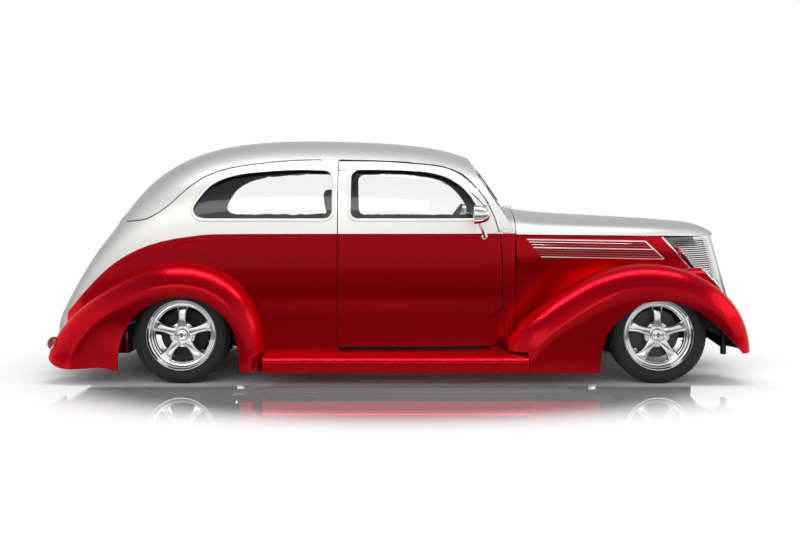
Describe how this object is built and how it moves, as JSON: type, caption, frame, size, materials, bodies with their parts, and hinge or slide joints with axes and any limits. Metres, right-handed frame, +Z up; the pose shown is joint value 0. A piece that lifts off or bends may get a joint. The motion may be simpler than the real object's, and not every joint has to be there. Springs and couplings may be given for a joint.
{
  "type": "classic two-door slant-back sedan",
  "caption": "Lowered two-tone classic two-door sedan with pontoon fenders, running boards, opening doors, hood and trunk lid, steering and free-turning wheels.",
  "frame": {"origin": "on the floor under the middle of the overall length and width", "axes": "+X forward, +Y to the car's left, +Z up"},
  "size_m": [4.32, 1.749, 1.4758],
  "materials": {
    "paint_silver": "gloss",
    "paint_red": "gloss",
    "chassis_black": "satin",
    "chrome": "polished",
    "alloy": "polished",
    "steel": "brushed",
    "iron": "cast",
    "glass": "clear",
    "tyre": "matt",
    "leather": "grained",
    "trim_black": "gloss",
    "lamp_red": "clear"
  },
  "bodies": {
    "root": {"roof": "paint_silver", "cowl": "paint_red", "quarter_panel_right": "paint_red", "quarter_panel_left": "paint_red", "rear_panel": "paint_red", "body_glass": "glass", "hood_sides": "paint_red", "grille": "chrome", "front_fender_right": "paint_red", "front_fender_left": "paint_red", "rear_fender_right": "paint_red", "rear_fender_left": "paint_red", "running_boards": "paint_red", "headlamps": "chrome", "tail_lamps": "lamp_red", "front_seats": "leather", "rear_seat": "leather", "floor_pan": "chassis_black", "dashboard": "paint_silver", "frame_rails": "chassis_black", "frame_crossmembers": "chassis_black", "front_suspension": "chassis_black", "rear_axle": "chassis_black", "engine": "iron", "fuel_tank": "chassis_black", "exhaust": "steel"},
    "door_right": {"door_right": "paint_red", "door_glass_right": "glass", "mirror_right": "chrome"},
    "door_left": {"door_left": "paint_red", "door_glass_left": "glass", "mirror_left": "chrome"},
    "hood": {"hood_top": "paint_silver"},
    "trunk_lid": {"trunk_lid": "paint_silver"},
    "steering_wheel": {"steering_wheel": "trim_black"},
    "knuckle_right": {"knuckle_right": "iron"},
    "knuckle_left": {"knuckle_left": "iron"},
    "wheel_front_right": {"rim_front_right": "alloy", "tyre_front_right": "tyre"},
    "wheel_front_left": {"rim_front_left": "alloy", "tyre_front_left": "tyre"},
    "wheel_rear_right": {"rim_rear_right": "alloy", "tyre_rear_right": "tyre"},
    "wheel_rear_left": {"rim_rear_left": "alloy", "tyre_rear_left": "tyre"}
  },
  "joints": [
    {"name": "door_right_swing", "type": "hinge", "parent": "root", "child": "door_right", "pos_m": [0.618, -0.64, 0.6], "axis": [0, 0, 1], "range_deg": [0, 65]},
    {"name": "door_left_swing", "type": "hinge", "parent": "root", "child": "door_left", "pos_m": [0.618, 0.64, 0.6], "axis": [0, 0, -1], "range_deg": [0, 65]},
    {"name": "hood_lift", "type": "hinge", "parent": "root", "child": "hood", "pos_m": [0.705, 0, 1.052], "axis": [0, -1, 0], "range_deg": [0, 50]},
    {"name": "trunk_lift", "type": "hinge", "parent": "root", "child": "trunk_lid", "pos_m": [-1.778, 0, 0.969], "axis": [0, 1, 0], "range_deg": [0, 65]},
    {"name": "steer_right", "type": "hinge", "parent": "root", "child": "knuckle_right", "pos_m": [1.541, -0.59, 0.29], "axis": [0, 0, 1], "range_deg": [-25, 25]},
    {"name": "steer_left", "type": "hinge", "parent": "root", "child": "knuckle_left", "pos_m": [1.541, 0.59, 0.29], "axis": [0, 0, 1], "range_deg": [-25, 25]},
    {"name": "steering_wheel_turn", "type": "hinge", "parent": "root", "child": "steering_wheel", "pos_m": [0.33, 0.36, 0.89], "axis": [-0.866, 0, 0.5], "range_deg": [-350, 350]},
    {"name": "wheel_front_right_spin", "type": "hinge", "parent": "knuckle_right", "child": "wheel_front_right", "pos_m": [1.541, -0.662, 0.29], "axis": [0, 1, 0], "continuous": true},
    {"name": "wheel_front_left_spin", "type": "hinge", "parent": "knuckle_left", "child": "wheel_front_left", "pos_m": [1.541, 0.662, 0.29], "axis": [0, 1, 0], "continuous": true},
    {"name": "wheel_rear_right_spin", "type": "hinge", "parent": "root", "child": "wheel_rear_right", "pos_m": [-1.304, -0.662, 0.29], "axis": [0, 1, 0], "continuous": true},
    {"name": "wheel_rear_left_spin", "type": "hinge", "parent": "root", "child": "wheel_rear_left", "pos_m": [-1.304, 0.662, 0.29], "axis": [0, 1, 0], "continuous": true}
  ],
  "couplings": [
    {"joint": "steer_left", "follows": "steer_right", "ratio": 1},
    {"joint": "steering_wheel_turn", "follows": "steer_right", "ratio": 14}
  ]
}
